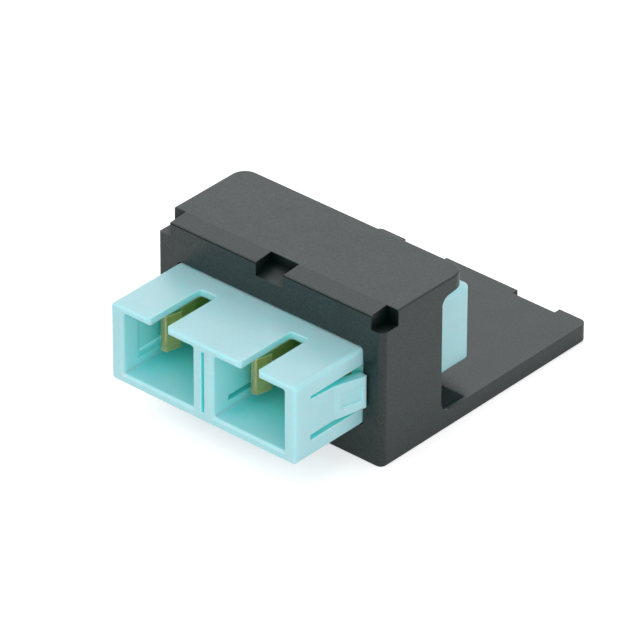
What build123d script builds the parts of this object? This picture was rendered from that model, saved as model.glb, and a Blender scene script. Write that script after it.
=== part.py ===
from build123d import *
import os

os.makedirs("parts", exist_ok=True)

# Snap-in module with a duplex fibre adapter, in millimetres.
# +X is the right-hand side seen from the ports, +Y points to the back, +Z is up.
# The origin is the middle of the footprint, on the surface that the base rests on.

# Duplex adapter, two housing halves welded at the middle flange
port_pitch = 12.7
port_width = 9.8
port_height = 7.5
port_side_wall = 1.65
port_floor_wall = 1.1
port_roof_wall = 0.85
port_corner_radius = 0.3
mouth_chamfer = 0.25
adapter_half_length = 13.9
adapter_overhang = 10.6
adapter_base = 4.4
adapter_edge_radius = 0.45
adapter_rim_radius = 0.3
window_clearance = 0.15
flange_side_rim = 0.85
flange_top_rim = 0.7
flange_half_thickness = 1.05
flange_corner_radius = 0.8
key_width = 2.4
key_length = 8.2
key_end_radius = 0.5
key_mouth_flare = 0.4
partition_slit = 0.45
partition_slit_length = 10.3
back_wall = 0.8
back_wall_clearance = 0.12

# Snap tongues that hold the adapter in the frame's window
tongue_root = 2.45
tongue_low = 7.1
tongue_high_root = 11.5
tongue_high_tip = 10.95
tongue_slit = 0.7
tongue_thickness = 1.2
tongue_flare = 0.9
tongue_straight = 3.6
tongue_gap = 0.15
tongue_lead = 0.3
tongue_window_gap = 0.35
tongue_dimple_depth = 0.25
tongue_dimple_low = 8.2
tongue_dimple_high = 10.0
tongue_dimple_length = 2.6
tongue_dimple_margin = 0.5

# Sleeve holders and split sleeves
ferrule_radius = 1.25
sleeve_wall = 0.35
sleeve_length = 11.4
sleeve_slit = 0.5
sleeve_clearance = 0.05
holder_wall = 0.35
holder_lip = 0.35
holder_lip_radius = 1.45
holder_base_thickness = 1.0
holder_base_margin = 0.25
holder_base_clearance = 0.05
hook_reach = 9.5
hook_thickness = 0.85
hook_height = 4.4
hook_inner = 2.75
hook_barb = 0.45
hook_ramp = 1.8
hook_barb_flat = 0.3
hook_barb_back = 0.2
hook_tip_radius = 0.2
hook_window_length = 2.0
hook_window_side = 0.05

# Black module frame, as wide as the adapter's flange needs
frame_height = 18.5
side_depth = 9.6
lip_reach = 13.5
front_wall = 2.0
side_wall = 1.3
roof_slope = 1.2
flange_side_gap = 0.6
lip_root = 1.9
lip_tip = 1.6
lip_root_radius = 1.1
ramp_depth = 2.5
ramp_drop = 0.2
front_corner_radius = 0.8
front_left_corner_radius = 0.25
outer_edge_radius = 0.2
lip_corner_radius = 1.8

# Release plate along the bottom of the frame, set in at its left edge
plate_thickness = 2.2
plate_reach = 34.0
plate_left_step = 1.6
plate_step_radius = 0.5
plate_corner_radius = 0.9
plate_root_radius = 1.4
thumb_recess_inner = 5.05
thumb_recess_width = 5.9
thumb_recess_depth = 0.85
hinge_start = 0.4
hinge_length = 3.9
hinge_floor = 1.0
hinge_end_wall = 0.35

# Notches along the top front edge
corner_notch_width = 1.6
corner_notch_depth = 2.5
corner_notch_height = 1.9
centre_notch_width = 3.9
centre_notch_depth = 2.5
centre_notch_front = 1.85
centre_notch_back = 1.25

# Cutting blocks run this far past the faces that they open, and roots this far into their wall
cut_margin = 1.0
root_overlap = 0.2
near = 0.01

# Places worked out from the sizes above
front_y = (adapter_overhang - plate_reach) / 2
mouth_y = front_y - adapter_overhang
seam_y = mouth_y + adapter_half_length
side_end_y = front_y + side_depth
lip_end_y = front_y + lip_reach
plate_end_y = front_y + plate_reach
adapter_width = port_pitch + port_width + 2 * port_side_wall
adapter_height = port_floor_wall + port_height + port_roof_wall
flange_width = adapter_width + 2 * flange_side_rim
flange_height = adapter_height + 2 * flange_top_rim
half_width = flange_width / 2 + flange_side_gap + side_wall
plate_left_x = plate_left_step - half_width
plate_middle_x = (plate_left_x + half_width) / 2
body_middle_z = adapter_base + adapter_height / 2
port_middle_z = adapter_base + port_floor_wall + port_height / 2
partition_width = port_pitch - port_width
port_places = {"left": -port_pitch / 2, "right": port_pitch / 2}


def box_between(low, high, mode):
    """A block between two opposite corners, in the part being built."""
    middle = [(a + b) / 2 for a, b in zip(low, high)]
    with Locations(tuple(middle)):
        Box(*[b - a for a, b in zip(low, high)], mode=mode)


def flipped_across_seam(piece):
    """The same moulding turned half a turn about the vertical through the seam."""
    return piece.moved(Location((0, 2 * seam_y, 0), (0, 0, 180)))


# Black frame: one moulding with the lip on top and the release plate below
with BuildPart() as module_frame:
    with BuildSketch(Plane.YZ):
        with BuildLine():
            lip_bottom_y = side_end_y + lip_root_radius
            lip_bottom_z = frame_height - lip_root
            foot_y = side_end_y + plate_root_radius
            foot_z = plate_thickness + plate_root_radius
            Line((side_end_y, lip_bottom_z - lip_root_radius), (side_end_y, foot_z))
            RadiusArc((side_end_y, foot_z), (foot_y, plate_thickness), -plate_root_radius)
            Polyline(
                (foot_y, plate_thickness),
                (plate_end_y, plate_thickness),
                (plate_end_y, 0),
                (front_y, 0),
                (front_y, frame_height - ramp_drop),
                (front_y + ramp_depth, frame_height),
                (lip_end_y, frame_height),
                (lip_end_y, frame_height - lip_tip),
                (lip_bottom_y, lip_bottom_z),
            )
            RadiusArc(
                (lip_bottom_y, lip_bottom_z),
                (side_end_y, lip_bottom_z - lip_root_radius),
                -lip_root_radius,
            )
        make_face()
    extrude(amount=half_width, both=True)

    # the plate is narrower than the block: its left edge steps in behind the side wall
    box_between(
        (-half_width - cut_margin, side_end_y, -cut_margin),
        (plate_left_x, plate_end_y + cut_margin, foot_z),
        Mode.SUBTRACT,
    )

    # rounded upright corners, then softened edges round the top and the bottom
    upright_corners = (
        (plate_left_x, plate_end_y, plate_corner_radius),
        (half_width, plate_end_y, plate_corner_radius),
        (plate_left_x, side_end_y, plate_step_radius),
        (-half_width, lip_end_y, lip_corner_radius),
        (half_width, lip_end_y, lip_corner_radius),
        (-half_width, front_y, front_left_corner_radius),
        (half_width, front_y, front_corner_radius),
    )
    for corner_x, corner_y, corner_radius in upright_corners:
        corners = module_frame.edges().filter_by(Axis.Z)
        corners = corners.filter_by_position(Axis.X, corner_x - near, corner_x + near)
        corners = corners.filter_by_position(Axis.Y, corner_y - near, corner_y + near)
        fillet(corners, corner_radius)
    top_face = module_frame.faces().sort_by(Axis.Z)[-1]
    bottom_face = module_frame.faces().sort_by(Axis.Z)[0]
    fillet(top_face.edges() + bottom_face.edges(), outer_edge_radius)

    # two thumb recesses in the plate's free end
    for side in (-1, 1):
        near_x = plate_middle_x + side * thumb_recess_inner
        far_x = near_x + side * thumb_recess_width
        box_between(
            (min(near_x, far_x), plate_end_y - thumb_recess_depth, -cut_margin),
            (max(near_x, far_x), plate_end_y + cut_margin, plate_thickness + cut_margin),
            Mode.SUBTRACT,
        )

    # hollow behind the front wall, open at the back; its roof slopes to stay thick below the notches
    with BuildSketch(Plane.YZ):
        hollow_y = front_y + front_wall
        hollow_top = frame_height - lip_root
        Polygon(
            (hollow_y, plate_thickness),
            (hollow_y, hollow_top - roof_slope),
            (hollow_y + roof_slope, hollow_top),
            (side_end_y + lip_root_radius, hollow_top),
            (side_end_y + lip_root_radius, plate_thickness),
            align=None,
        )
    extrude(amount=half_width - side_wall, both=True, mode=Mode.SUBTRACT)

    # window that the adapter passes through
    with BuildSketch(Plane.XZ.offset(-front_y)):
        with Locations((0, body_middle_z)):
            RectangleRounded(
                adapter_width + 2 * window_clearance,
                adapter_height + 2 * window_clearance,
                adapter_edge_radius + window_clearance,
            )
    extrude(amount=-front_wall, mode=Mode.SUBTRACT)

    # thinned strip that lets the plate flex, closed at both ends
    box_between(
        (plate_left_x + hinge_end_wall, side_end_y + hinge_start, hinge_floor),
        (
            half_width - hinge_end_wall,
            side_end_y + hinge_start + hinge_length,
            plate_thickness + plate_root_radius,
        ),
        Mode.SUBTRACT,
    )

    # notches at the two top front corners
    for side in (-1, 1):
        near_x = side * (half_width - corner_notch_width)
        far_x = side * (half_width + cut_margin)
        box_between(
            (min(near_x, far_x), front_y - cut_margin, frame_height - corner_notch_height),
            (max(near_x, far_x), front_y + corner_notch_depth, frame_height + cut_margin),
            Mode.SUBTRACT,
        )

    # centre notch, with a floor that falls towards the front
    with BuildSketch(Plane.YZ):
        Polygon(
            (front_y - cut_margin, frame_height - centre_notch_front),
            (front_y, frame_height - centre_notch_front),
            (front_y + centre_notch_depth, frame_height - centre_notch_back),
            (front_y + centre_notch_depth, frame_height + cut_margin),
            (front_y - cut_margin, frame_height + cut_margin),
            align=None,
        )
    extrude(amount=centre_notch_width / 2, both=True, mode=Mode.SUBTRACT)

module_frame.part.label = "module_frame"
export_step(module_frame.part, "parts/module_frame.step")


def key_slot_outline(port_x):
    """The key slot seen from above: rounded at its inner end and flared at the mouth."""
    key_end_y = mouth_y + key_length
    left_x = port_x - key_width / 2
    right_x = port_x + key_width / 2
    Polyline(
        (left_x - key_mouth_flare, mouth_y),
        (left_x, mouth_y + key_mouth_flare),
        (left_x, key_end_y - key_end_radius),
    )
    RadiusArc((left_x, key_end_y - key_end_radius), (left_x + key_end_radius, key_end_y), key_end_radius)
    Line((left_x + key_end_radius, key_end_y), (right_x - key_end_radius, key_end_y))
    RadiusArc((right_x - key_end_radius, key_end_y), (right_x, key_end_y - key_end_radius), key_end_radius)
    Polyline(
        (right_x, key_end_y - key_end_radius),
        (right_x, mouth_y + key_mouth_flare),
        (right_x + key_mouth_flare, mouth_y),
        (left_x - key_mouth_flare, mouth_y),
    )


def make_adapter_half():
    """Half of the adapter facing the front: body, flange, ports, back walls, holder seats and key slots."""
    seat_width = port_width + 2 * (holder_base_margin + holder_base_clearance)
    seat_height = port_height + 2 * (holder_base_margin + holder_base_clearance)
    port_depth = adapter_half_length - holder_base_thickness - back_wall
    with BuildPart() as half:
        with BuildSketch(Plane.XZ.offset(-mouth_y)):
            with Locations((0, body_middle_z)):
                RectangleRounded(adapter_width, adapter_height, adapter_edge_radius)
        extrude(amount=-adapter_half_length)
        fillet(half.faces().sort_by(Axis.Y)[0].edges(), adapter_rim_radius)
        with BuildSketch(Plane.XZ.offset(-seam_y)):
            with Locations((0, body_middle_z)):
                RectangleRounded(flange_width, flange_height, flange_corner_radius)
        extrude(amount=flange_half_thickness)

        for port_x in port_places.values():
            # port from the mouth to its back wall, with a small lead-in at the mouth
            with BuildSketch(Plane.XZ.offset(-mouth_y)):
                with Locations((port_x, port_middle_z)):
                    RectangleRounded(port_width, port_height, port_corner_radius)
            extrude(amount=-port_depth, mode=Mode.SUBTRACT)
            with BuildSketch(Plane.XZ.offset(-mouth_y)) as wide_mouth:
                with Locations((port_x, port_middle_z)):
                    Rectangle(port_width + 2 * mouth_chamfer, port_height + 2 * mouth_chamfer)
            with BuildSketch(Plane.XZ.offset(-mouth_y - mouth_chamfer)) as narrow_mouth:
                with Locations((port_x, port_middle_z)):
                    Rectangle(port_width, port_height)
            loft(sections=[wide_mouth.sketch, narrow_mouth.sketch], mode=Mode.SUBTRACT)
            # opening in the back wall for the hooks and the sleeve's tube
            with BuildSketch(Plane.XZ.offset(-seam_y)):
                with Locations((port_x, port_middle_z)):
                    Rectangle(
                        2 * (hook_inner + hook_thickness + back_wall_clearance),
                        hook_height + 2 * back_wall_clearance,
                    )
            extrude(amount=holder_base_thickness + back_wall, mode=Mode.SUBTRACT)
            # seat for the sleeve holder's base, opening at the seam
            with BuildSketch(Plane.XZ.offset(-seam_y)):
                with Locations((port_x, port_middle_z)):
                    Rectangle(seat_width, seat_height)
            extrude(amount=holder_base_thickness, mode=Mode.SUBTRACT)
            # key slot through the roof
            with BuildSketch(Plane.XY.offset(port_middle_z)):
                with BuildLine():
                    key_slot_outline(port_x)
                make_face()
            extrude(amount=port_height, mode=Mode.SUBTRACT)
        # slit that parts the wall between the two ports
        box_between(
            (-partition_slit / 2, mouth_y - cut_margin, port_middle_z - port_height / 2),
            (partition_slit / 2, mouth_y + partition_slit_length, port_middle_z + port_height / 2),
            Mode.SUBTRACT,
        )
    return half.part


# Front half of the adapter, with the snap tongues on its sides
plain_half = make_adapter_half()
tongue_root_y = mouth_y + tongue_root
tongue_tip_y = front_y - tongue_gap
tongue_start_y = tongue_root_y - root_overlap
slope_start_y = tongue_root_y + tongue_straight
slope_end_y = tongue_tip_y - tongue_lead
slit_top = tongue_high_root + tongue_slit / 2
slit_bottom = tongue_low - tongue_slit

with BuildPart() as adapter_housing_front:
    add(plain_half)

    for side in (-1, 1):
        # window in the side wall, then the tongue put back into it
        wall_x = side * adapter_width / 2
        inside_x = wall_x - side * (port_side_wall + root_overlap)
        outside_x = wall_x + side * cut_margin
        box_between(
            (min(inside_x, outside_x), tongue_root_y, slit_bottom),
            (max(inside_x, outside_x), tongue_tip_y + tongue_window_gap, slit_top),
            Mode.SUBTRACT,
        )
        with BuildSketch(Plane.XY.offset(tongue_low)):
            Polygon(
                (wall_x, tongue_start_y),
                (wall_x, slope_start_y),
                (wall_x + side * tongue_flare, slope_end_y),
                (wall_x + side * (tongue_flare - tongue_lead / 2), tongue_tip_y),
                (wall_x + side * (tongue_flare - tongue_thickness), tongue_tip_y),
                (wall_x - side * tongue_thickness, slope_start_y),
                (wall_x - side * tongue_thickness, tongue_start_y),
                align=None,
            )
        extrude(amount=tongue_high_root - tongue_low)

        # the tongue's upper edge slopes down towards its free end
        with BuildSketch(Plane.YZ.offset(inside_x)):
            Polygon(
                (tongue_root_y, tongue_high_root),
                (tongue_tip_y + near, tongue_high_tip),
                (tongue_tip_y + near, tongue_high_root),
                align=None,
            )
        extrude(amount=side * (port_side_wall + tongue_flare + cut_margin), mode=Mode.SUBTRACT)

        # shallow dimple on the sloping face
        dimple_end_y = slope_end_y - tongue_dimple_margin
        dimple_start_y = dimple_end_y - tongue_dimple_length
        slope = tongue_flare / (slope_end_y - slope_start_y)
        start_x = wall_x + side * (slope * (dimple_start_y - slope_start_y) - tongue_dimple_depth)
        end_x = wall_x + side * (slope * (dimple_end_y - slope_start_y) - tongue_dimple_depth)
        with BuildSketch(Plane.XY.offset(tongue_dimple_low)):
            Polygon(
                (start_x, dimple_start_y),
                (end_x, dimple_end_y),
                (end_x + side * cut_margin, dimple_end_y),
                (start_x + side * cut_margin, dimple_start_y),
                align=None,
            )
        extrude(amount=tongue_dimple_high - tongue_dimple_low, mode=Mode.SUBTRACT)

    # matching slits in the two walls of the partition
    half_partition = partition_width / 2 + root_overlap
    for low_z in (slit_bottom, slit_top - tongue_slit):
        box_between(
            (-half_partition, tongue_root_y, low_z),
            (half_partition, tongue_tip_y, low_z + tongue_slit),
            Mode.SUBTRACT,
        )

adapter_housing_front.part.label = "adapter_housing_front"
export_step(adapter_housing_front.part, "parts/adapter_housing_front.step")

# Rear half of the adapter, plain at its sides and turned round to face the back
adapter_housing_rear = flipped_across_seam(make_adapter_half())
adapter_housing_rear.label = "adapter_housing_rear"
export_step(adapter_housing_rear, "parts/adapter_housing_rear.step")


def make_sleeve_holder(port_x):
    """Half of a sleeve holder: base plate, tube and two latch hooks that face the front."""
    sleeve_radius = ferrule_radius + sleeve_wall
    bore_radius = sleeve_radius + sleeve_clearance
    tube_radius = bore_radius + holder_wall
    tube_depth = sleeve_length / 2 + sleeve_clearance
    base_front_y = seam_y - holder_base_thickness
    root_y = base_front_y + root_overlap
    tip_y = seam_y - hook_reach
    crest_y = tip_y + hook_ramp
    with BuildPart() as holder:
        with BuildSketch(Plane.XZ.offset(-seam_y)):
            with Locations((port_x, port_middle_z)):
                Rectangle(port_width + 2 * holder_base_margin, port_height + 2 * holder_base_margin)
        extrude(amount=holder_base_thickness)
        with BuildSketch(Plane.XZ.offset(-seam_y)):
            with Locations((port_x, port_middle_z)):
                Circle(tube_radius)
        extrude(amount=tube_depth + holder_lip)
        # hooks, drawn from above and as tall as the connector's side faces
        for side in (-1, 1):
            inner_x = port_x + side * hook_inner
            outer_x = port_x + side * (hook_inner + hook_thickness)
            crest_x = port_x + side * (hook_inner - hook_barb)
            with BuildSketch(Plane.XY.offset(port_middle_z - hook_height / 2)) as hook_outline:
                Polygon(
                    (outer_x, root_y),
                    (outer_x, tip_y),
                    (inner_x, tip_y),
                    (crest_x, crest_y),
                    (crest_x, crest_y + hook_barb_flat),
                    (inner_x, crest_y + hook_barb_flat + hook_barb_back),
                    (inner_x, root_y),
                    align=None,
                )
                tip_corners = hook_outline.vertices().filter_by_position(Axis.Y, tip_y - near, tip_y + near)
                fillet(tip_corners, hook_tip_radius)
            extrude(amount=hook_height)
            # window in the base behind the barb, where the mould core passed
            window_x = inner_x - side * hook_window_side
            box_between(
                (min(crest_x, window_x), base_front_y - near, port_middle_z - hook_window_length / 2),
                (max(crest_x, window_x), seam_y + near, port_middle_z + hook_window_length / 2),
                Mode.SUBTRACT,
            )
        # bore for the split sleeve, with a lip at the tube's mouth
        with BuildSketch(Plane.XZ.offset(-seam_y)):
            with Locations((port_x, port_middle_z)):
                Circle(bore_radius)
        extrude(amount=tube_depth, mode=Mode.SUBTRACT)
        with BuildSketch(Plane.XZ.offset(-seam_y)):
            with Locations((port_x, port_middle_z)):
                Circle(holder_lip_radius)
        extrude(amount=tube_depth + holder_lip + near, mode=Mode.SUBTRACT)
    return holder.part


for port_name, port_x in port_places.items():
    front_holder = make_sleeve_holder(port_x)
    front_holder.label = f"sleeve_holder_front_{port_name}"
    export_step(front_holder, f"parts/sleeve_holder_front_{port_name}.step")

    rear_holder = flipped_across_seam(make_sleeve_holder(-port_x))
    rear_holder.label = f"sleeve_holder_rear_{port_name}"
    export_step(rear_holder, f"parts/sleeve_holder_rear_{port_name}.step")

    # split sleeve that lines up the two ferrules
    with BuildPart() as alignment_sleeve:
        with BuildSketch(Plane.XZ.offset(-seam_y)):
            with Locations((port_x, port_middle_z)):
                Circle(ferrule_radius + sleeve_wall)
                Circle(ferrule_radius, mode=Mode.SUBTRACT)
            with Locations((port_x, port_middle_z + ferrule_radius + sleeve_wall / 2)):
                Rectangle(sleeve_slit, 2 * sleeve_wall, mode=Mode.SUBTRACT)
        extrude(amount=sleeve_length / 2, both=True)
    alignment_sleeve.part.label = f"alignment_sleeve_{port_name}"
    export_step(alignment_sleeve.part, f"parts/alignment_sleeve_{port_name}.step")
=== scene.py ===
import math
import bpy
from mathutils import Euler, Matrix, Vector


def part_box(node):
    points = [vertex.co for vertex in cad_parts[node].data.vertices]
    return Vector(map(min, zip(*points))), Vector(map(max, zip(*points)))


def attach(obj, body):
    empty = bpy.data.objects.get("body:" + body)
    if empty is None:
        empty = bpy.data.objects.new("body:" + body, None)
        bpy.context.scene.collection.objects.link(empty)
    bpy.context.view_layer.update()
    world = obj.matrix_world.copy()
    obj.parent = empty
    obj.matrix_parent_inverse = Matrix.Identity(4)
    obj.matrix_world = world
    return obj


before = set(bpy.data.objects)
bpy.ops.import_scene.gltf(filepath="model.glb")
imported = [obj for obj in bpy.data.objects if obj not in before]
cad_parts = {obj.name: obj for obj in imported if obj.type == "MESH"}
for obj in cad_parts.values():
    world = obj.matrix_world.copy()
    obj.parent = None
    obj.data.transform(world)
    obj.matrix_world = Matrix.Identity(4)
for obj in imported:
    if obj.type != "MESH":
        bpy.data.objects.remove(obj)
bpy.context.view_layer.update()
module_low, module_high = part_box("module_frame")
flange_low, flange_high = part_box("adapter_housing_rear")

MM = 0.001
WHITE = (1, 1, 1, 1)

# Camera, as the photograph was taken: from the front right and above, with a long lens
CAMERA_AZIMUTH = 41.015
CAMERA_ELEVATION = 32.185
CAMERA_ROLL = 0.221
CAMERA_DISTANCE = 763.3 * MM
CAMERA_AIM = Vector((-1.034, -2.430, 7.164)) * MM
CAMERA_LENS = 403.4
CAMERA_SENSOR = 36.0
CAMERA_NEAR = 0.05
CAMERA_FAR = 20.0

# Studio light: each softbox as (azimuth, elevation, distance, size, watts), in degrees and metres
SOFTBOXES = {
    "softbox_front_left": (-30, 36, 0.50, 0.36, 0.46),
    "softbox_front_right": (58, 18, 0.50, 0.30, 0.86),
    "softbox_overhead": (0, 76, 0.50, 0.42, 0.46),
    "softbox_back_left": (221, 34, 0.50, 0.56, 0.50),
}
SOFTBOX_AIM = Vector((0, 0, 10 * MM))
WORLD_LIGHT = 0.55
WORLD_IN_GLOSS = 1.0
BACKGROUND_WHITE = 1.0
FLOOR_SIZE = 4.0
FLOOR_COLOUR = (0.86, 0.86, 0.86, 1)
FLOOR_LIFT = 0.50
FLOOR_LIFT_IN_GLOSS = 0.18

# Black moulding: colours, grain of its mould, soft edges, and how deep a notch must be to get painted
# shade
BLACK_PLASTIC = (0.004, 0.010, 0.0095, 1)
BLACK_PLASTIC_SPECK = (0.011, 0.018, 0.017, 1)
BLACK_PAINTED_SHADE = (0.0018, 0.005, 0.005, 1)
BLACK_GLOSS_TINT = (0.93, 1.0, 0.995, 1)
BLACK_GLOSS_SPECK_TINT = (0.68, 0.75, 0.75, 1)
BLACK_PAINTED_SHADE_GLOSS = (0.02, 0.03, 0.03, 1)
BLACK_ROUGHNESS = (0.30, 0.37)
BLACK_IOR = 1.56
BLACK_GRAIN = 0.16 * MM
BLACK_GRAIN_DETAIL = 3.0
BLACK_GRAIN_ROUGHNESS = 0.7
BLACK_GRAIN_RISE = 0.02 * MM
BLACK_GRAIN_STRENGTH = 0.8
BLACK_SPECK = 0.20 * MM
BLACK_CLOUD = 3.5 * MM
BLACK_EDGE = 0.09 * MM
PAINTED_SHADE_REACH = 2.5 * MM
PAINTED_SHADE_OPENNESS = (0.52, 0.97)

# The same black made paler in the hinge groove as painted light, and darkened in the parting line as a
# painted shadow
BLACK_PAINTED_LIGHT = (0.040, 0.058, 0.058, 1)
BLACK_PAINTED_LIGHT_SPECK = (0.055, 0.075, 0.075, 1)
BLACK_PAINTED_SHADOW_LINE = (0.008, 0.010, 0.010, 1)
PAINTED_SHADOW_LINE_BREAK = 0.5 * MM
PAINTED_SHADOW_LINE_ROUGHNESS = 0.9
PAINTED_SHADOW_LINE_GLOSS = 0.1

# Aqua moulding: colours with a painted highlight along edges, how far light goes into it, and how deep a
# port must be for its painted shade
AQUA_PLASTIC = (0.44, 0.725, 0.77, 1)
AQUA_PLASTIC_CLOUD = (0.40, 0.695, 0.74, 1)
AQUA_PAINTED_EDGE_HIGHLIGHT = (0.60, 0.77, 0.80, 1)
AQUA_PAINTED_PORT_SHADE = (0.10, 1.0, 1.0, 1)
AQUA_DEPTH = (0.12, 1.0, 1.05)
AQUA_DEPTH_SCALE = 0.8 * MM
AQUA_ROUGHNESS = (0.30, 0.38)
AQUA_IOR = 1.7
AQUA_GRAIN = 0.20 * MM
AQUA_GRAIN_RISE = 0.012 * MM
AQUA_GRAIN_STRENGTH = 0.5
AQUA_CLOUD = 4.0 * MM
AQUA_MOTTLE = (0.12, 0.40)
AQUA_EDGE = 0.16 * MM
PORT_DEPTH = 11.0 * MM
PORT_PAINTED_SHADE_OPENNESS = (0.10, 0.56)

# Amber resin: colours with a painted glint along edges, clearness on flat faces and along edges, and its
# glossy skin
AMBER_RESIN = (0.90, 1.0, 0.70, 1)
AMBER_RESIN_CLOUD = (0.90, 0.92, 0.48, 1)
AMBER_PAINTED_EDGE_GLINT = (1.0, 0.96, 0.50, 1)
AMBER_ROUGHNESS = (0.06, 0.16)
AMBER_CLEARNESS = (0.72, 0.05)
AMBER_IOR = 1.7
AMBER_COAT_TINT = (1.0, 0.95, 0.62, 1)
AMBER_COAT_IOR = 1.8
AMBER_COAT_ROUGHNESS = 0.12
AMBER_CLOUD = 0.9 * MM
AMBER_RIPPLE = 0.5 * MM
AMBER_RIPPLE_RISE = 0.02 * MM
AMBER_RIPPLE_STRENGTH = 0.5
AMBER_EDGE = 0.22 * MM

# Ceramic of the split sleeves, with grinding marks counted per metre on X, Y and Z
ZIRCONIA_WHITE = (0.86, 0.86, 0.83, 1)
ZIRCONIA_GREY = (0.78, 0.78, 0.76, 1)
ZIRCONIA_ROUGHNESS = (0.12, 0.22)
ZIRCONIA_CLOUD = 1.0 * MM
GRINDING_MARKS = (9000, 700, 9000)
GRINDING_RISE = 0.002 * MM
GRINDING_STRENGTH = 0.4

# Rays that feel for nearby surfaces, and how alike two normals are along an edge and on a flat face
PROBE_RAYS = 6
EDGE_TURNED = 0.80
EDGE_FLAT = 0.99
NOISE_MIDDLE = 0.5
SMOOTH_ANGLE = math.radians(35)

# Groove that lets the release plate flex: its ends on X, its start and end on Y, and its round root
HINGE_LEFT = module_low.x + 1.95 * MM
HINGE_RIGHT = module_high.x - 0.35 * MM
HINGE_START = module_low.y + 10.0 * MM
HINGE_END = module_low.y + 13.9 * MM
HINGE_LOW = module_low.z + 1.02 * MM
HINGE_SINK = 0.10 * MM
HINGE_ROUND = 2.32 * MM
HINGE_ARC = math.radians(60)
HINGE_STEPS = 16

# Parting line under the ramp of the frame, drawn as a dark strip that is a painted shadow, on both sides
# of the centre notch
PARTING_INNER = 1.96 * MM
PARTING_OUTER = module_high.x - 1.61 * MM
PARTING_FRONT = module_low.y - 0.015 * MM
PARTING_BACK = module_low.y + 0.20 * MM
PARTING_LOW = module_high.z - 0.37 * MM
PARTING_HIGH = module_high.z - 0.27 * MM

# Weld along the adapter's flange, which is the widest and highest part of the rear housing
SEAM_Y = flange_low.y
FLANGE_MIDDLE = (flange_low.z + flange_high.z) / 2
FLANGE_HALF_WIDTH = flange_high.x
FLANGE_HALF_HEIGHT = (flange_high.z - flange_low.z) / 2
FLANGE_CORNER = 0.80 * MM
FLANGE_CORNER_STEPS = 6
BEAD_RADIUS = 0.13 * MM
BEAD_UNEVEN = 0.10 * MM
BEAD_LUMP = 0.7 * MM
BEAD_SIDES = 10
BEAD_STEPS = 420

# Ejector pin marks: their rings, and each set's moulding, height, places to each side and places along
PIN_RADIUS = 0.80 * MM
PIN_STEPS = 32
PIN_RIDGE = 0.05 * MM
PIN_RIDGE_SIDES = 8
PIN_MARKS = {
    "pin_marks_frame": (
        "module_frame",
        module_high.z - 1.90 * MM,
        (3.5 * MM, 11.0 * MM),
        (module_low.y + 5.9 * MM, module_low.y + 8.8 * MM),
    ),
    "pin_marks_housing_front": (
        "adapter_housing",
        flange_low.z + 0.70 * MM,
        (2.2 * MM, 10.6 * MM),
        (SEAM_Y - 11.8 * MM, SEAM_Y - 5.6 * MM),
    ),
    "pin_marks_housing_rear": (
        "adapter_housing",
        flange_low.z + 0.70 * MM,
        (2.2 * MM, 10.6 * MM),
        (SEAM_Y + 5.6 * MM, SEAM_Y + 11.8 * MM),
    ),
}


def direction_from(azimuth, elevation):
    """Unit vector from the object towards a place at that azimuth and elevation, in degrees."""
    turn = math.radians(azimuth)
    rise = math.radians(elevation)
    return Vector((math.sin(turn) * math.cos(rise), -math.cos(turn) * math.cos(rise), math.sin(rise)))


def place_camera():
    """The long-lens camera at the photograph's angle."""
    lens = bpy.data.cameras.new("photo_camera")
    lens.lens = CAMERA_LENS
    lens.sensor_width = CAMERA_SENSOR
    lens.clip_start = CAMERA_NEAR
    lens.clip_end = CAMERA_FAR
    camera = bpy.data.objects.new("photo_camera", lens)
    bpy.context.scene.collection.objects.link(camera)
    back = direction_from(CAMERA_AZIMUTH, CAMERA_ELEVATION)
    camera.location = CAMERA_AIM + back * CAMERA_DISTANCE
    level = (-back).to_track_quat("-Z", "Y")
    roll = Euler((0, 0, math.radians(CAMERA_ROLL))).to_quaternion()
    camera.rotation_mode = "QUATERNION"
    camera.rotation_quaternion = level @ roll
    bpy.context.scene.camera = camera


def place_softboxes():
    """Large square lamps that look at the object."""
    for name, (azimuth, elevation, distance, size, watts) in SOFTBOXES.items():
        lamp = bpy.data.lights.new(name, "AREA")
        lamp.shape = "SQUARE"
        lamp.size = size
        lamp.energy = watts
        softbox = bpy.data.objects.new(name, lamp)
        bpy.context.scene.collection.objects.link(softbox)
        back = direction_from(azimuth, elevation)
        softbox.location = SOFTBOX_AIM + back * distance
        softbox.rotation_mode = "QUATERNION"
        softbox.rotation_quaternion = (-back).to_track_quat("-Z", "Y")


def fill_inputs(tree, node, inputs):
    """Each named input of a node gets its value, or a link from another node's output."""
    for name, value in inputs.items():
        if isinstance(value, bpy.types.NodeSocket):
            tree.links.new(value, node.inputs[name])
        else:
            node.inputs[name].default_value = value


def add_node(tree, kind, inputs=None, **settings):
    """One node, with its settings and its input values or links."""
    node = tree.nodes.new(kind)
    for name, value in settings.items():
        setattr(node, name, value)
    fill_inputs(tree, node, inputs or {})
    return node


def by_ray(tree, for_light, for_camera, for_gloss):
    """A value that differs for light on the object, for the camera, and for gloss or clear resin."""
    rays = add_node(tree, "ShaderNodeLightPath")
    gloss_or_clear = add_node(
        tree,
        "ShaderNodeMath",
        {0: rays.outputs["Is Glossy Ray"], 1: rays.outputs["Is Transmission Ray"]},
        operation="MAXIMUM",
    )
    without_camera = add_node(
        tree,
        "ShaderNodeMapRange",
        {"Value": gloss_or_clear.outputs[0], "To Min": for_light, "To Max": for_gloss},
    )
    value = add_node(
        tree,
        "ShaderNodeMapRange",
        {
            "Value": rays.outputs["Is Camera Ray"],
            "To Min": without_camera.outputs[0],
            "To Max": for_camera,
        },
    )
    return value.outputs[0]


def light_world():
    """Even pale light from all round, with a white background."""
    world = bpy.data.worlds.new("studio_white")
    world.use_nodes = True
    bpy.context.scene.world = world
    tree = world.node_tree
    tree.nodes.clear()
    strength = by_ray(tree, WORLD_LIGHT, BACKGROUND_WHITE, WORLD_IN_GLOSS)
    white = add_node(tree, "ShaderNodeBackground", {"Color": WHITE, "Strength": strength})
    add_node(tree, "ShaderNodeOutputWorld", {"Surface": white.outputs[0]})


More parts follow.
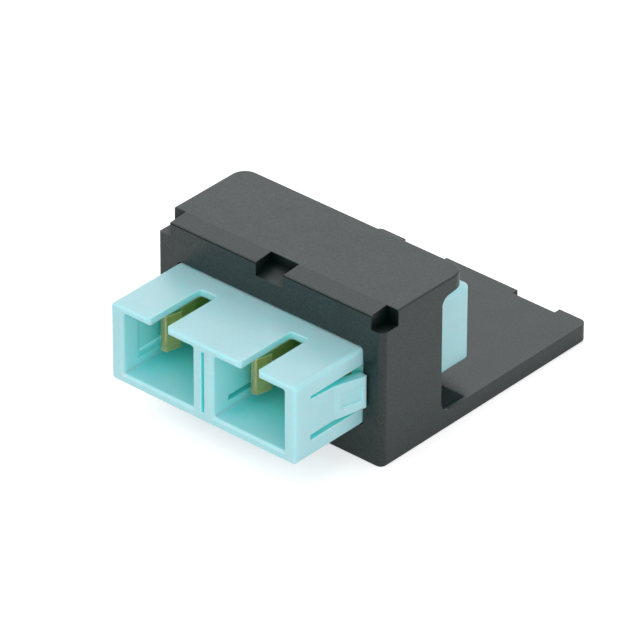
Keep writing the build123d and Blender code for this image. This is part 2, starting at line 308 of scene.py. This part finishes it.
def lay_floor():
    """Plain pale floor that keeps the object's shadow and shows white elsewhere."""
    half = FLOOR_SIZE / 2
    sheet = bpy.data.meshes.new("studio_floor")
    corners = [(-half, -half, 0), (half, -half, 0), (half, half, 0), (-half, half, 0)]
    sheet.from_pydata(corners, [], [(0, 1, 2, 3)])
    floor = bpy.data.objects.new("studio_floor", sheet)
    bpy.context.scene.collection.objects.link(floor)
    paper = bpy.data.materials.new("floor_paper")
    paper.use_nodes = True
    tree = paper.node_tree
    tree.nodes.clear()
    matt = add_node(tree, "ShaderNodeBsdfDiffuse", {"Color": FLOOR_COLOUR})
    lift = by_ray(tree, 0.0, FLOOR_LIFT, FLOOR_LIFT_IN_GLOSS)
    glow = add_node(tree, "ShaderNodeEmission", {"Color": WHITE, "Strength": lift})
    both = add_node(tree, "ShaderNodeAddShader", {0: matt.outputs[0], 1: glow.outputs[0]})
    add_node(tree, "ShaderNodeOutputMaterial", {"Surface": both.outputs[0]})
    sheet.materials.append(paper)


def start_finish(name):
    """A new material with its shader and the piece's coordinates: (material, tree, shader, place)."""
    material = bpy.data.materials.new(name)
    material.use_nodes = True
    tree = material.node_tree
    shader = tree.nodes["Principled BSDF"]
    place = add_node(tree, "ShaderNodeTexCoord").outputs["Object"]
    return material, tree, shader, place


def grain(tree, place, size, detail=2.0, roughness=0.5):
    """Even random grain whose features are about that size."""
    noise = add_node(
        tree,
        "ShaderNodeTexNoise",
        {"Vector": place, "Scale": 1 / size, "Detail": detail, "Roughness": roughness},
    )
    return noise.outputs["Fac"]


def spread(tree, value, low, high, from_low=0.3, from_high=0.7):
    """A value taken from its own range, which is that of grain unless given, over to low and high."""
    ranged = add_node(
        tree,
        "ShaderNodeMapRange",
        {"Value": value, "From Min": from_low, "From Max": from_high, "To Min": low, "To Max": high},
    )
    return ranged.outputs[0]


def blend_colours(tree, share, first, second):
    """A colour between two, by share."""
    mix = add_node(tree, "ShaderNodeMix", data_type="RGBA")
    colour_inputs = [socket for socket in mix.inputs if socket.type == "RGBA"]
    tree.links.new(share, mix.inputs[0])
    for socket, colour in zip(colour_inputs, (first, second)):
        if isinstance(colour, bpy.types.NodeSocket):
            tree.links.new(colour, socket)
        else:
            socket.default_value = colour
    return next(socket for socket in mix.outputs if socket.type == "RGBA")


def soft_edges(tree, radius):
    """The normal of a surface whose edges are rounded over."""
    softened = add_node(tree, "ShaderNodeBevel", {"Radius": radius}, samples=PROBE_RAYS)
    return softened.outputs["Normal"]


def along_edges(tree, soft_normal):
    """1 along edges and 0 on flat faces, by how far the softened normal turns away."""
    flat = add_node(tree, "ShaderNodeNewGeometry")
    likeness = add_node(
        tree,
        "ShaderNodeVectorMath",
        {0: soft_normal, 1: flat.outputs["Normal"]},
        operation="DOT_PRODUCT",
    )
    return spread(tree, likeness.outputs["Value"], 1.0, 0.0, EDGE_TURNED, EDGE_FLAT)


def openness(tree, reach, closed, wide_open):
    """0 deep in a piece's own notches or ports and 1 on its open faces, from ambient occlusion; it masks
    painted shade.
    """
    felt = add_node(
        tree,
        "ShaderNodeAmbientOcclusion",
        {"Distance": reach},
        samples=PROBE_RAYS,
        only_local=True,
    )
    return spread(tree, felt.outputs["AO"], 0.0, 1.0, closed, wide_open)


def raised(tree, height, rise, strength, normal=None):
    """The normal of a surface on which grain of that height stands up."""
    bump = add_node(tree, "ShaderNodeBump", {"Height": height, "Distance": rise, "Strength": strength})
    if normal is not None:
        tree.links.new(normal, bump.inputs["Normal"])
    return bump.outputs[0]


def black_moulding(name, plastic, speck):
    """Black satin plastic from a lightly spark-eroded mould, with painted shade in its crevices: darker
    colour and dimmer gloss.
    """
    material, tree, shader, place = start_finish(name)
    soft_normal = soft_edges(tree, BLACK_EDGE)
    fine = grain(tree, place, BLACK_GRAIN, BLACK_GRAIN_DETAIL, BLACK_GRAIN_ROUGHNESS)
    speckle = spread(tree, grain(tree, place, BLACK_SPECK), 0.0, 1.0)
    # Mask for painted shade: a darker colour and a dimmer gloss tint in the piece's own crevices
    painted_shade_open_share = openness(tree, PAINTED_SHADE_REACH, *PAINTED_SHADE_OPENNESS)
    grained = blend_colours(tree, speckle, plastic, speck)
    speckled = blend_colours(tree, speckle, BLACK_GLOSS_SPECK_TINT, BLACK_GLOSS_TINT)
    fill_inputs(
        tree,
        shader,
        {
            "Base Color": blend_colours(tree, painted_shade_open_share, BLACK_PAINTED_SHADE, grained),
            "Specular Tint": blend_colours(tree, painted_shade_open_share, BLACK_PAINTED_SHADE_GLOSS, speckled),
            "Roughness": spread(tree, grain(tree, place, BLACK_CLOUD), *BLACK_ROUGHNESS),
            "IOR": BLACK_IOR,
            "Normal": raised(tree, fine, BLACK_GRAIN_RISE, BLACK_GRAIN_STRENGTH, soft_normal),
        },
    )
    return material


def aqua_moulding():
    """Aqua satin plastic that lets light in a little, with painted shade inside its ports as a deeper
    colour and a painted highlight along its edges as a paler colour.
    """
    material, tree, shader, place = start_finish("aqua_moulding")
    soft_normal = soft_edges(tree, AQUA_EDGE)
    # Mask for a painted highlight: a paler colour along edges
    edges = along_edges(tree, soft_normal)
    fine = grain(tree, place, AQUA_GRAIN)
    cloudy = grain(tree, place, AQUA_CLOUD)
    mottled = add_node(tree, "ShaderNodeMath", {0: cloudy, 1: fine}, operation="MULTIPLY")
    mottle = spread(tree, mottled.outputs[0], 0.0, 1.0, *AQUA_MOTTLE)
    outside = blend_colours(tree, mottle, AQUA_PLASTIC, AQUA_PLASTIC_CLOUD)
    # Mask for painted shade: a deeper, more saturated colour inside the ports
    painted_shade_open_share = openness(tree, PORT_DEPTH, *PORT_PAINTED_SHADE_OPENNESS)
    body = blend_colours(tree, painted_shade_open_share, AQUA_PAINTED_PORT_SHADE, outside)
    fill_inputs(
        tree,
        shader,
        {
            "Base Color": blend_colours(tree, edges, body, AQUA_PAINTED_EDGE_HIGHLIGHT),
            "Roughness": spread(tree, cloudy, *AQUA_ROUGHNESS),
            "IOR": AQUA_IOR,
            "Subsurface Weight": 1.0,
            "Subsurface Radius": AQUA_DEPTH,
            "Subsurface Scale": AQUA_DEPTH_SCALE,
            "Normal": raised(tree, fine, AQUA_GRAIN_RISE, AQUA_GRAIN_STRENGTH, soft_normal),
        },
    )
    return material


def amber_resin():
    """Clear amber resin of the sleeve holders and their latch hooks, with a painted glint along its
    edges: a paler, less clear yellow.
    """
    material, tree, shader, place = start_finish("amber_resin")
    soft_normal = soft_edges(tree, AMBER_EDGE)
    # Mask for a painted glint: a paler yellow along edges, where the resin is made nearly opaque
    edges = along_edges(tree, soft_normal)
    cloudy = grain(tree, place, AMBER_CLOUD)
    ripples = grain(tree, place, AMBER_RIPPLE)
    body = blend_colours(tree, spread(tree, cloudy, 0.0, 1.0), AMBER_RESIN, AMBER_RESIN_CLOUD)
    fill_inputs(
        tree,
        shader,
        {
            "Base Color": blend_colours(tree, edges, body, AMBER_PAINTED_EDGE_GLINT),
            "Roughness": spread(tree, cloudy, *AMBER_ROUGHNESS),
            "Transmission Weight": spread(tree, edges, *AMBER_CLEARNESS, 0.0, 1.0),
            "IOR": AMBER_IOR,
            "Coat Weight": 1.0,
            "Coat IOR": AMBER_COAT_IOR,
            "Coat Tint": AMBER_COAT_TINT,
            "Coat Roughness": AMBER_COAT_ROUGHNESS,
            "Coat Normal": soft_normal,
            "Normal": raised(tree, ripples, AMBER_RIPPLE_RISE, AMBER_RIPPLE_STRENGTH, soft_normal),
        },
    )
    return material


def parting_line_painted_shadow():
    """Dull black of the fine line where the halves of the frame's mould met, darker than the frame as a
    painted shadow.
    """
    material, tree, shader, place = start_finish("parting_line_painted_shadow")
    broken = spread(tree, grain(tree, place, PAINTED_SHADOW_LINE_BREAK), 0.0, 1.0)
    fill_inputs(
        tree,
        shader,
        {
            "Base Color": blend_colours(tree, broken, BLACK_PAINTED_SHADOW_LINE, BLACK_PLASTIC),
            "Roughness": PAINTED_SHADOW_LINE_ROUGHNESS,
            "Specular IOR Level": PAINTED_SHADOW_LINE_GLOSS,
        },
    )
    return material


def zirconia():
    """White ceramic of the split sleeves, with fine marks from grinding."""
    material, tree, shader, place = start_finish("zirconia")
    ground = add_node(tree, "ShaderNodeMapping", {"Vector": place, "Scale": GRINDING_MARKS})
    marks = grain(tree, ground.outputs[0], 1.0)
    cloudy = spread(tree, grain(tree, place, ZIRCONIA_CLOUD), 0.0, 1.0)
    fill_inputs(
        tree,
        shader,
        {
            "Base Color": blend_colours(tree, cloudy, ZIRCONIA_WHITE, ZIRCONIA_GREY),
            "Roughness": spread(tree, marks, *ZIRCONIA_ROUGHNESS),
            "Normal": raised(tree, marks, GRINDING_RISE, GRINDING_STRENGTH),
        },
    )
    return material


def add_piece(name, sheet):
    """A mesh piece at the origin that moves with the module, shaded smooth across gentle bends."""
    sheet.shade_smooth()
    sheet.set_sharp_from_angle(angle=SMOOTH_ANGLE)
    piece = bpy.data.objects.new(name, sheet)
    bpy.context.scene.collection.objects.link(piece)
    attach(piece, "root")


def add_strip(name, outline, start_x, end_x, finish):
    """A closed bar between two places on X, whose outline of (y, z) places turns from +Y to +Z."""
    count = len(outline)
    vertices = [(x, y, z) for x in (start_x, end_x) for y, z in outline]
    sides = [(k, (k + 1) % count, (k + 1) % count + count, k + count) for k in range(count)]
    ends = [tuple(range(count))[::-1], tuple(range(count, 2 * count))]
    bar = bpy.data.meshes.new(name)
    bar.from_pydata(vertices, [], sides + ends)
    bar.materials.append(finish)
    add_piece(name, bar)


def round_hinge_root(finish):
    """The scooped bottom and back of the groove that lets the release plate flex."""
    outline = [(HINGE_START, HINGE_LOW - HINGE_SINK), (HINGE_END, HINGE_LOW - HINGE_SINK)]
    for step in reversed(range(HINGE_STEPS + 1)):
        angle = HINGE_ARC * step / HINGE_STEPS
        outline.append(
            (
                HINGE_END - HINGE_ROUND * (math.sin(HINGE_ARC) - math.sin(angle)),
                HINGE_LOW + HINGE_ROUND * (1 - math.cos(angle)),
            )
        )
    outline.append((HINGE_START, HINGE_LOW))
    add_strip("hinge_root_round", outline, HINGE_LEFT, HINGE_RIGHT, finish)


def draw_parting_line_shadow(finish):
    """The fine line under the ramp along the top front edge, broken by the centre notch, as a dark strip
    that paints its shadow.
    """
    outline = [
        (PARTING_FRONT, PARTING_LOW),
        (PARTING_BACK, PARTING_LOW),
        (PARTING_BACK, PARTING_HIGH),
        (PARTING_FRONT, PARTING_HIGH),
    ]
    add_strip("parting_line_shadow_left", outline, -PARTING_OUTER, -PARTING_INNER, finish)
    add_strip("parting_line_shadow_right", outline, PARTING_INNER, PARTING_OUTER, finish)


def start_tree(name, sizes):
    """A Geometry Nodes tree with its named sizes and its finish as inputs, as (tree, start, end)."""
    tree = bpy.data.node_groups.new(name, "GeometryNodeTree")
    tree.interface.new_socket("Geometry", in_out="INPUT", socket_type="NodeSocketGeometry")
    for label in sizes:
        tree.interface.new_socket(label, in_out="INPUT", socket_type="NodeSocketFloat")
    tree.interface.new_socket("Finish", in_out="INPUT", socket_type="NodeSocketMaterial")
    tree.interface.new_socket("Geometry", in_out="OUTPUT", socket_type="NodeSocketGeometry")
    return tree, add_node(tree, "NodeGroupInput"), add_node(tree, "NodeGroupOutput")


def finish_tree(tree, start, end, shape):
    """The last steps of a tree: plain mesh with the finish on it."""
    plain = add_node(tree, "GeometryNodeRealizeInstances", {"Geometry": shape})
    coated = add_node(
        tree,
        "GeometryNodeSetMaterial",
        {"Geometry": plain.outputs[0], "Material": start.outputs["Finish"]},
    )
    tree.links.new(coated.outputs[0], end.inputs[0])


def round_bar(tree, path, radius, sides):
    """A round bar of that radius along a curve."""
    section = add_node(tree, "GeometryNodeCurvePrimitiveCircle", {"Radius": radius, "Resolution": sides})
    bar = add_node(
        tree,
        "GeometryNodeCurveToMesh",
        {"Curve": path, "Profile Curve": section.outputs[0]},
    )
    return bar.outputs[0]


def ring_tree():
    """Raised rings, one at each point, as ejector pins leave them on a moulding."""
    tree, start, end = start_tree("pin_rings", ("Ring radius", "Ridge radius"))
    circle = add_node(
        tree,
        "GeometryNodeCurvePrimitiveCircle",
        {"Radius": start.outputs["Ring radius"], "Resolution": PIN_STEPS},
    )
    ring = round_bar(tree, circle.outputs[0], start.outputs["Ridge radius"], PIN_RIDGE_SIDES)
    rings = add_node(
        tree,
        "GeometryNodeInstanceOnPoints",
        {"Points": start.outputs["Geometry"], "Instance": ring},
    )
    finish_tree(tree, start, end, rings.outputs[0])
    return tree


def bead_tree():
    """An uneven bead along a closed path, as a weld squeezes it out."""
    tree, start, end = start_tree("weld_bead", ("Bead radius", "Unevenness", "Lump size"))
    path = add_node(tree, "GeometryNodeMeshToCurve", {"Mesh": start.outputs["Geometry"]})
    even = add_node(tree, "GeometryNodeResampleCurve", {"Curve": path.outputs[0], "Count": BEAD_STEPS})
    bead = round_bar(tree, even.outputs[0], start.outputs["Bead radius"], BEAD_SIDES)
    fineness = add_node(
        tree,
        "ShaderNodeMath",
        {0: 1.0, 1: start.outputs["Lump size"]},
        operation="DIVIDE",
    )
    lumps = add_node(tree, "ShaderNodeTexNoise", {"Scale": fineness.outputs[0], "Detail": 1.0})
    centred = add_node(
        tree,
        "ShaderNodeMath",
        {0: lumps.outputs["Fac"], 1: NOISE_MIDDLE},
        operation="SUBTRACT",
    )
    height = add_node(
        tree,
        "ShaderNodeMath",
        {0: centred.outputs[0], 1: start.outputs["Unevenness"]},
        operation="MULTIPLY",
    )
    outwards = add_node(tree, "GeometryNodeInputNormal")
    offset = add_node(
        tree,
        "ShaderNodeVectorMath",
        {0: outwards.outputs[0], "Scale": height.outputs[0]},
        operation="SCALE",
    )
    uneven = add_node(tree, "GeometryNodeSetPosition", {"Geometry": bead, "Offset": offset.outputs[0]})
    finish_tree(tree, start, end, uneven.outputs[0])
    return tree


def grow_piece(name, tree, vertices, edges, sizes, finish):
    """What a tree makes from points or a path, as a plain mesh piece."""
    guide = bpy.data.meshes.new(name + "_guide")
    guide.from_pydata(vertices, edges, [])
    grower = bpy.data.objects.new(name + "_guide", guide)
    bpy.context.scene.collection.objects.link(grower)
    growth = grower.modifiers.new("growth", "NODES")
    growth.node_group = tree
    values = dict(sizes, Finish=finish)
    for socket in tree.interface.items_tree:
        if socket.in_out == "INPUT" and socket.name in values:
            growth[socket.identifier] = values[socket.name]
    graph = bpy.context.evaluated_depsgraph_get()
    grown = bpy.data.meshes.new_from_object(grower.evaluated_get(graph))
    grown.name = name
    grower.modifiers.remove(growth)
    bpy.data.objects.remove(grower)
    bpy.data.meshes.remove(guide)
    add_piece(name, grown)


def rounded_loop(half_width, half_height, radius, steps):
    """Places round a rectangle with rounded corners, as (across, up) pairs."""
    places = []
    for corner, (right, top) in enumerate(((1, 1), (-1, 1), (-1, -1), (1, -1))):
        for step in range(steps + 1):
            angle = math.radians(90) * (corner + step / steps)
            places.append(
                (
                    right * (half_width - radius) + radius * math.cos(angle),
                    top * (half_height - radius) + radius * math.sin(angle),
                )
            )
    return places


def weld_housings(finish):
    """The bead along the seam where the two halves of the adapter are welded at their flange."""
    loop = rounded_loop(FLANGE_HALF_WIDTH, FLANGE_HALF_HEIGHT, FLANGE_CORNER, FLANGE_CORNER_STEPS)
    path = [(across, SEAM_Y, FLANGE_MIDDLE + up) for across, up in loop]
    edges = [(k, (k + 1) % len(path)) for k in range(len(path))]
    sizes = {"Bead radius": BEAD_RADIUS, "Unevenness": BEAD_UNEVEN, "Lump size": BEAD_LUMP}
    grow_piece("flange_weld_bead", bead_tree(), path, edges, sizes, finish)


def mark_ejector_pins(finishes):
    """Rings left by the ejector pins on faces that point down."""
    tree = ring_tree()
    sizes = {"Ring radius": PIN_RADIUS, "Ridge radius": PIN_RIDGE}
    for name, (moulding, height, across, along) in PIN_MARKS.items():
        places = [(side * x, y, height) for x in across for y in along for side in (-1, 1)]
        grow_piece(name, tree, places, [], sizes, finishes[moulding])


def finish_mouldings():
    """Each moulding gets its own finish in place of the plain one it came with."""
    finishes = {
        "module_frame": black_moulding("black_moulding", BLACK_PLASTIC, BLACK_PLASTIC_SPECK),
        "adapter_housing": aqua_moulding(),
        "sleeve_holder": amber_resin(),
        "alignment_sleeve": zirconia(),
    }
    for name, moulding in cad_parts.items():
        finish = next(material for start, material in finishes.items() if name.startswith(start))
        for slot in moulding.material_slots:
            slot.material = finish
    return finishes


place_camera()
place_softboxes()
light_world()
lay_floor()
finishes = finish_mouldings()
# The hinge groove's scoop gets a paler copy of the black: painted light
round_hinge_root(black_moulding("black_moulding_painted_light", BLACK_PAINTED_LIGHT, BLACK_PAINTED_LIGHT_SPECK))
# The parting line is a thin dark strip: a painted shadow under the ramp
draw_parting_line_shadow(parting_line_painted_shadow())
weld_housings(finishes["adapter_housing"])
mark_ejector_pins(finishes)

bpy.context.scene.view_settings.view_transform = "Standard"
